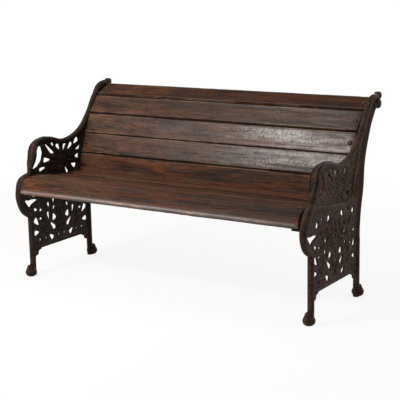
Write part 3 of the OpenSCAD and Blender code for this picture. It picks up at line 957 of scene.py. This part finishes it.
# How a rib's reach out of the middle plane grows: a shift in metres, the share at the ends, what
# is added in the middle and the power that moves the middle along the line
ARM_SWELL = (0.0, 0.35, 0.95, 0.8)
BELLY_SWELL = (-0.002, 0.4, 0.8, 1.2)
NO_SWELL = (0.0, 1.0, 0.0, 1.0)
# Each rib's line, its distance beside it and radius in millimetres, reach in metres and swell
RIBS = [
    (ARM_LINE, 9.5, 2.6, -0.017, ARM_SWELL), (ARM_LINE, 12.5, 2.6, -0.006, ARM_SWELL),
    (ARM_LINE, 12.5, 2.6, 0.006, ARM_SWELL), (ARM_LINE, 9.5, 2.6, 0.017, ARM_SWELL),
    (BELLY_LINE, 9.5, 3.2, -0.019, BELLY_SWELL), (BELLY_LINE, 12.0, 3.2, -0.009, BELLY_SWELL),
    (BELLY_LINE, 12.0, 3.2, 0.001, BELLY_SWELL), (BELLY_LINE, 12.0, 3.2, 0.009, BELLY_SWELL),
    (POST_LINE, 17, 3.6, -0.0065, NO_SWELL), (POST_LINE, 27, 2.6, -0.0055, NO_SWELL),
    (POST_LINE, 17, 3.6, 0.0065, NO_SWELL), (POST_LINE, 27, 2.6, 0.0055, NO_SWELL),
]


def leaf_rows():
    """Every leaf as its root and tip in the casting's plan and its width."""
    rows = []
    for angle, near, far, width in UPPER_LEAVES:
        way = (math.cos(angle * TURN), math.sin(angle * TURN))
        root, tip = [tuple(c + d * w for c, w in zip(PANEL_CENTRE, way)) for d in (near, far)]
        rows.append((root, tip, width))
    for side in (-1, 1):
        for d0, z0, d1, z1, width in SIDE_LEAVES:
            rows.append(((PANEL_MIDDLE + side * d0, z0), (PANEL_MIDDLE + side * d1, z1), width))
    for z0, z1, width in MIDDLE_LEAVES:
        rows.append(((PANEL_MIDDLE, z0), (PANEL_MIDDLE, z1), width))
    return rows + [POST_LEAF]


LENS_TIP = 0.02
LENS_SMALL = 1e-4
LENS_FLATTENING = 1.15


def lens(name, length, width, height, blunt=0.62):
    """A leaf blade from 0 along X: a ball drawn out to a point at each end."""
    deselect()
    bpy.ops.mesh.primitive_uv_sphere_add(
        segments=16, ring_count=12, radius=0.5, rotation=(0, math.pi / 2, 0)
    )
    blade = named(bpy.context.object, name)
    apply_place(blade)
    for v in blade.data.vertices:
        t = v.co.x + 0.5
        wanted = math.sin(math.pi * min(max(t, 0), 1) ** blunt) + LENS_TIP
        ball = max(2 * math.sqrt(max(t * (1 - t), LENS_SMALL)), LENS_TIP)
        v.co.y *= width * (wanted / ball)
        v.co.z *= height * min(1, wanted / ball * LENS_FLATTENING)
        v.co.x = t * length
    return blade


# A leaf before it is shrunk to a unit: its length and width, and as shares of the length, the
# width and the relief its blade and its rib; a rib has a width of its own
LEAF_SIZE = (80.0, 26.0)
BLADE_WIDTH, BLADE_RISE = 0.74, 1.72
RIB_LENGTH, RIB_WIDTH, RIB_RISE, RIB_BLUNT = 0.94, 4.2, 2.12, 0.5
# Pairs of lobes: where along the leaf, their angle and their length
LOBES = ((0.22, 42, 24), (0.42, 36, 25), (0.62, 30, 20))
LOBE_WIDTH, LOBE_RISE, LOBE_BLUNT = 12, 1.5, 0.8


def lobed_leaf(name, relief):
    """A leaf with three pairs of lobes and a midrib, 1 long and 1 wide."""
    length, width = LEAF_SIZE
    parts = [lens(name, length, width * BLADE_WIDTH, relief * BLADE_RISE)]
    for at, turn, reach in LOBES:
        for side in (-1, 1):
            lobe = lens("lobe", reach, LOBE_WIDTH, relief * LOBE_RISE, LOBE_BLUNT)
            turned = Matrix.Rotation(side * turn * TURN, 4, "Z")
            lobe.data.transform(Matrix.Translation((length * at, 0, 0)) @ turned)
            parts.append(lobe)
    parts.append(lens("rib", length * RIB_LENGTH, RIB_WIDTH, relief * RIB_RISE, RIB_BLUNT))
    leaf = joined(parts, name)
    leaf.data.transform(Matrix.Diagonal((1 / length, 1 / width, 1, 1)))
    return leaf


def in_plan(root, tip, width, plane):
    """Puts a unit leaf on a casting, from root to tip."""
    way = Vector((0, tip[0] - root[0], tip[1] - root[1])) / MM
    long = way.length
    way.normalize()
    side = Vector((0, -way.z, way.y))
    out = Vector((1, 0, 0))
    turn = Matrix((way, side, out)).transposed().to_4x4()
    grow = Matrix.Diagonal((long, width / MM, 1 / MM, 1))
    return Matrix.Translation((plane, root[0] / MM, root[1] / MM)) @ turn @ grow


STRAND_TIP = 0.45


def strand(name, line, radius, x_of):
    """A round rib along a line in the plan; x_of gives how far out it lies from 0 to 1 along it."""
    deselect()
    bpy.ops.curve.primitive_nurbs_path_add(location=(0, 0, 0))
    rib = named(bpy.context.object, name)
    curve = rib.data
    curve.bevel_depth = radius / MM
    curve.bevel_resolution = 2
    curve.use_fill_caps = True
    spline = curve.splines[0]
    spline.points.add(len(line) - len(spline.points))
    for i, (y, z) in enumerate(line):
        t = i / (len(line) - 1)
        spline.points[i].co = (x_of(t), y / MM, z / MM, 1)
        spline.points[i].radius = STRAND_TIP + (1 - STRAND_TIP) * math.sin(math.pi * t) ** 0.5
    spline.use_endpoint_u = True
    spline.order_u = 3
    spline.resolution_u = 4
    bpy.ops.object.convert(target="MESH")
    return bpy.context.object


def offset_line(line, distance):
    moved = []
    for i, (y, z) in enumerate(line):
        a, b = line[max(i - 1, 0)], line[min(i + 1, len(line) - 1)]
        way = Vector((b[0] - a[0], b[1] - a[1])).normalized()
        moved.append((y - way.y * distance, z + way.x * distance))
    return moved


def surface_of(mesh):
    """The places and the normals of a mesh's vertices, a row for each."""
    tables = []
    for field in ("co", "normal"):
        values = np.empty(len(mesh.vertices) * 3)
        mesh.vertices.foreach_get(field, values)
        tables.append(values.reshape(-1, 3))
    return tables


# Rounds of averaging: for the surface's general run, and to calm the marks themselves. The share
# of the marks, in per cent, that isn't cut off at 1, and the wear of what isn't a leaf.
WIDE_ROUNDS = 5
MARK_ROUNDS = 2
MARK_SHARE = 95
PLAIN_WEAR = 0.3


def curvature_marks(piece, leafy):
    """Writes edge_wear where the surface stands proud, most on leaves, and hollow where it is
    sunk."""
    mesh = piece.data
    place, out = surface_of(mesh)
    ends = np.empty(len(mesh.edges) * 2, np.int64)
    mesh.edges.foreach_get("vertices", ends)
    ends = ends.reshape(-1, 2)
    share = np.bincount(ends.ravel(), minlength=len(place)).astype(float)

    def neighbours(values):
        total = np.zeros_like(values)
        np.add.at(total, ends[:, 0], values[ends[:, 1]])
        np.add.at(total, ends[:, 1], values[ends[:, 0]])
        return total / np.maximum(share, 1)[:, None]

    wide = place
    for _ in range(WIDE_ROUNDS):
        wide = neighbours(wide)
    bulge = ((place - wide) * out).sum(1)[:, None]
    for _ in range(MARK_ROUNDS):
        bulge = neighbours(bulge)
    bulge = bulge[:, 0] / np.percentile(np.abs(bulge), MARK_SHARE)
    proud = np.clip(bulge, 0, 1) * (PLAIN_WEAR + (1 - PLAIN_WEAR) * leafy)
    for name, values in (("edge_wear", proud), ("hollow", np.clip(-bulge, 0, 1))):
        mark = mesh.attributes.new(name, "FLOAT", "POINT")
        mark.data.foreach_set("value", values.astype(np.float32))


# Veins: between which shares of a leaf's length and within which share of its width they lie, how
# far out of the web a leaf begins, how they slant, and how they fade in from the midrib and out at
# the leaf's edge
VEIN_ENDS = (0.04, 0.94)
VEIN_WIDTH = 0.62
WEB_DEPTH = 0.004
VEIN_SLANT = 0.9
RIB_FADE = 0.003
EDGE_FADE = 1.4


def carve_veins(piece, plane, depth, pitch):
    """Presses slanting veins into both faces of every leaf; gives where the leaves are, 0 to 1."""
    mesh = piece.data
    place, out = surface_of(mesh)
    push = np.zeros(len(place))
    leafy = np.zeros(len(place))
    for root, tip, width in leaf_rows():
        wide = width / MM
        a = np.array(root) / MM
        way = np.array(tip) / MM - a
        long = np.hypot(*way)
        way /= long
        along = (place[:, 1:] - a) @ way
        side = np.abs((place[:, 1:] - a) @ np.array((-way[1], way[0])))
        near = (along > VEIN_ENDS[0] * long) & (along < VEIN_ENDS[1] * long)
        near &= (side < wide * VEIN_WIDTH) & (np.abs(place[:, 0] - plane) > WEB_DEPTH)
        wave = 0.5 - 0.5 * np.cos((along - VEIN_SLANT * side) / pitch * math.tau)
        fade = np.clip(side / RIB_FADE, 0, 1) * np.clip(EDGE_FADE - side / (wide * 0.5), 0, 1)
        push = np.where(near, np.minimum(push, -depth * wave * fade), push)
        leafy = np.where(near, 1.0, leafy)
    place += out * push[:, None] * np.abs(out[:, :1])
    mesh.vertices.foreach_set("co", place.ravel())
    mesh.update()
    return leafy


def keep_inside(piece, cad):
    """Draws in anything that smoothing or relief pushed out of the CAD casting's box."""
    low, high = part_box(cad)
    for v in piece.data.vertices:
        v.co = [min(max(c, a), b) for c, a, b in zip(v.co, low, high)]


MERGE_DISTANCE = 0.00002
MOST_TRIANGLES = 190000
CASTING_CREASE = 60
# Each casting's tone: the left casting is darkened as painted shade, the right keeps nearly its own
# colour
CASTING_SHADE_TONES = {"end_casting_left": 0.7, "end_casting_right": 0.95}


class BENCH_OT_end_castings(Operator):
    """Model the two pierced and leafed end castings"""
    bl_idname = "garden_bench.end_castings"
    bl_label = "End castings"

    def execute(self, context):
        sizes = settings("sizes")
        plane = -sizes.casting_plane
        casting = copy_of(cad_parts["end_casting_left"], "end_casting_left_iron")
        casting.data.materials.clear()
        pick(casting)
        work_in("EDIT")
        bpy.ops.mesh.select_all(action="SELECT")
        bpy.ops.mesh.remove_doubles(threshold=MERGE_DISTANCE)
        work_in("OBJECT")
        unit_leaf = lobed_leaf("leaf", sizes.leaf_rise * MM)
        parts = [casting]
        for row in leaf_rows():
            parts.append(copy_of(unit_leaf, "leaf copy", in_plan(*row, plane)))
        remove(unit_leaf)
        for line, beside, radius, reach, (shift, ends, middle, power) in RIBS:
            def swell(t):
                return plane + shift + reach * (ends + middle * math.sin(math.pi * t ** power))

            parts.append(strand("rib", offset_line(line, beside), radius, swell))
        casting = joined(parts, "end_casting_left_iron")

        grain = casting.modifiers.new("grain", "REMESH")
        grain.mode = "VOXEL"
        grain.voxel_size = sizes.iron_grain
        soften = casting.modifiers.new("soften", "SMOOTH")
        soften.factor = 0.5
        soften.iterations = 3
        apply_modifiers(casting)
        curvature_marks(casting, carve_veins(casting, plane, sizes.vein_depth, sizes.vein_pitch))
        thin = casting.modifiers.new("thin", "DECIMATE")
        thin.ratio = min(1.0, MOST_TRIANGLES / (2 * len(casting.data.polygons)))
        apply_modifiers(casting)

        other = copy_of(casting, "end_casting_right_iron", Matrix.Diagonal((-1, 1, 1, 1)))
        other.data.flip_normals()
        for piece, (cad, tone) in zip((casting, other), CASTING_SHADE_TONES.items()):
            keep_inside(piece, cad)
            smooth_by_angle(piece, CASTING_CREASE)
            paint = shared("painted iron " + cad.removeprefix("end_casting_"), iron_finish, tone)
            dressed(piece, paint, cad)
        return {"FINISHED"}


# A fastener's material, colour, metallic, roughness and how dirty it is
BOLT_STEEL = ("bolt steel", "bolt", 0.55, 0.34, 0.5)
ZINC = ("zinc", "zinc", 0.9, 0.42, 0.25)
METALS = {"bolts_": BOLT_STEEL, "washers_": ZINC, "nuts_": ZINC}


class BENCH_OT_fasteners(Operator):
    """Finish the bolts, washers and nuts"""
    bl_idname = "garden_bench.fasteners"
    bl_label = "Bolts, washers and nuts"

    def execute(self, context):
        hues = settings("colours")
        for name in ALL_BOARDS:
            for kind, (material, hue, *facts) in METALS.items():
                metal = shared(material, metal_finish, getattr(hues, hue), *facts)
                painted(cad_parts[kind + name], metal)
        return {"FINISHED"}


# Floor, light and camera

LAMP_COLOUR = (1.0, 0.95, 0.91)
BENCH_MIDDLE = (0.15, 0.0, 0.55)
# Each lamp's power, its place, what it is turned towards, and its width and height
LAMPS = {
    "key": ("key_power", (-0.80, -1.95, 2.02), BENCH_MIDDLE, (0.55, 0.42)),
    "low front": ("front_power", (-1.75, -2.95, 0.30), BENCH_MIDDLE, (1.7, 0.30)),
    "high front": ("high_power", (-0.45, -0.4, 2.35), BENCH_MIDDLE, (0.7, 0.35)),
    "top": ("top_power", (-0.3, 0.2, 3.2), (0, 0, 0.3), (2.4, 1.8)),
    "right side": ("side_power", (2.4, 0.35, 0.95), (0.72, 0.0, 0.4), (1.0, 1.0)),
    "back": ("back_power", (0.4, 2.9, 1.5), (0, 0, 0.4), (2.0, 1.2)),
}


def softbox(name, power, place, target, size):
    """A rectangular lamp turned towards target."""
    lamp = bpy.data.lights.new(name, "AREA")
    lamp.shape = "RECTANGLE"
    lamp.size, lamp.size_y = size
    lamp.energy = power
    lamp.color = LAMP_COLOUR
    made = bpy.data.objects.new(name, lamp)
    made.location = place
    made.rotation_euler = (Vector(target) - Vector(place)).to_track_quat("-Z", "Y").to_euler()
    bpy.context.scene.collection.objects.link(made)


def background_ray(tree):
    """1 where the white background is looked at, directly or in a polished or clear piece."""
    ray = node(tree, "ShaderNodeLightPath").outputs
    return maths(
        tree, "ADD", maths(tree, "ADD", ray["Is Camera Ray"], ray["Is Glossy Ray"]),
        ray["Is Transmission Ray"], clamp=True,
    )


# The floor is seen white from afar, and near the bench a little less, so that the shadow shows
FLOOR_SIZE = 60
FLOOR_WHITE = {"From_Min": 1.2, "From_Max": 3.0, "To_Min": 0.88, "To_Max": 1.0}
WHITE = (1, 1, 1, 1)


def pale_floor():
    bpy.ops.mesh.primitive_plane_add(size=FLOOR_SIZE, location=(0, 0, 0))
    floor = named(bpy.context.object, "studio_floor")
    pale, tree, shader = new_material("pale floor")
    tree.nodes.remove(shader)
    matt = node(tree, "ShaderNodeBsdfDiffuse", Color=rgba(settings("colours").floor)).outputs[0]
    glow = node(tree, "ShaderNodeEmission", Color=WHITE, Strength=1.0).outputs[0]
    far = node(
        tree, "ShaderNodeVectorMath", {"operation": "LENGTH"}, _0=object_place(tree)
    ).outputs["Value"]
    white = node(tree, "ShaderNodeMapRange", Value=far, **FLOOR_WHITE).outputs["Result"]
    seen = times(tree, background_ray(tree), white)
    both = node(tree, "ShaderNodeMixShader", _0=seen, _1=matt, _2=glow).outputs[0]
    feed(tree, tree.nodes["Material Output"], Surface=both)
    floor.data.materials.append(pale)
    return floor


def white_surround(scene, sky):
    world = bpy.data.worlds.new("studio surround")
    scene.world = world
    world.use_nodes = True
    tree = world.node_tree
    level = node(tree, "ShaderNodeMapRange", Value=background_ray(tree), To_Min=sky, To_Max=1.0)
    feed(tree, tree.nodes["Background"], Color=WHITE, Strength=level.outputs[0])


def aimed_camera(scene, studio):
    camera = bpy.data.cameras.new("camera")
    camera.lens = studio.camera_lens
    eye = bpy.data.objects.new("camera", camera)
    scene.collection.objects.link(eye)
    turn, rise, roll = studio.camera_turn, studio.camera_rise, studio.camera_roll
    ground = math.cos(rise)
    back = Vector((math.sin(turn) * ground, -math.cos(turn) * ground, math.sin(rise)))
    right = (-back).cross(Vector((0, 0, 1))).normalized()
    up = right.cross(-back)
    level_right = math.cos(roll) * right + math.sin(roll) * up
    level_up = -math.sin(roll) * right + math.cos(roll) * up
    place = Matrix((level_right, level_up, back)).transposed().to_4x4()
    place.translation = studio.camera_place
    eye.matrix_world = place
    scene.camera = eye


class BENCH_OT_stage(Operator):
    """Set the pale floor, the soft lights and the camera"""
    bl_idname = "garden_bench.stage"
    bl_label = "Floor, light and camera"

    def execute(self, context):
        studio = settings("studio")
        deselect()
        pale_floor()
        white_surround(context.scene, studio.sky)
        for name, (power, *facts) in LAMPS.items():
            softbox(name, getattr(studio, power), *facts)
        aimed_camera(context.scene, studio)
        context.scene.view_settings.view_transform = "Standard"
        return {"FINISHED"}


class BENCH_PT_panel(Panel):
    bl_label = "Garden bench"
    bl_idname = "BENCH_PT_panel"
    bl_space_type = "VIEW_3D"
    bl_region_type = "UI"
    bl_category = "Garden bench"

    def draw(self, context):
        for kind in OPERATORS:
            self.layout.operator(kind.bl_idname)
        for group in GROUPS:
            box = self.layout.box()
            box.label(text=group.title())
            for name in GROUPS[group].__annotations__:
                box.prop(settings(group), name)


GROUPS = {"sizes": BenchSizes, "colours": BenchColours, "studio": BenchStudio}
OPERATORS = (
    BENCH_OT_flat_boards, BENCH_OT_front_board, BENCH_OT_end_castings, BENCH_OT_fasteners,
    BENCH_OT_stage,
)


def register():
    for kind in (*GROUPS.values(), *OPERATORS, BENCH_PT_panel):
        bpy.utils.register_class(kind)
    for name, kind in GROUPS.items():
        setattr(bpy.types.Scene, "garden_bench_" + name, PointerProperty(type=kind))


def unregister():
    for name in GROUPS:
        delattr(bpy.types.Scene, "garden_bench_" + name)
    for kind in reversed((*GROUPS.values(), *OPERATORS, BENCH_PT_panel)):
        bpy.utils.unregister_class(kind)


def main():
    register()
    bpy.ops.garden_bench.flat_boards()
    bpy.ops.garden_bench.front_board()
    bpy.ops.garden_bench.end_castings()
    bpy.ops.garden_bench.fasteners()
    bpy.ops.garden_bench.stage()


if __name__ == "__main__":
    main()
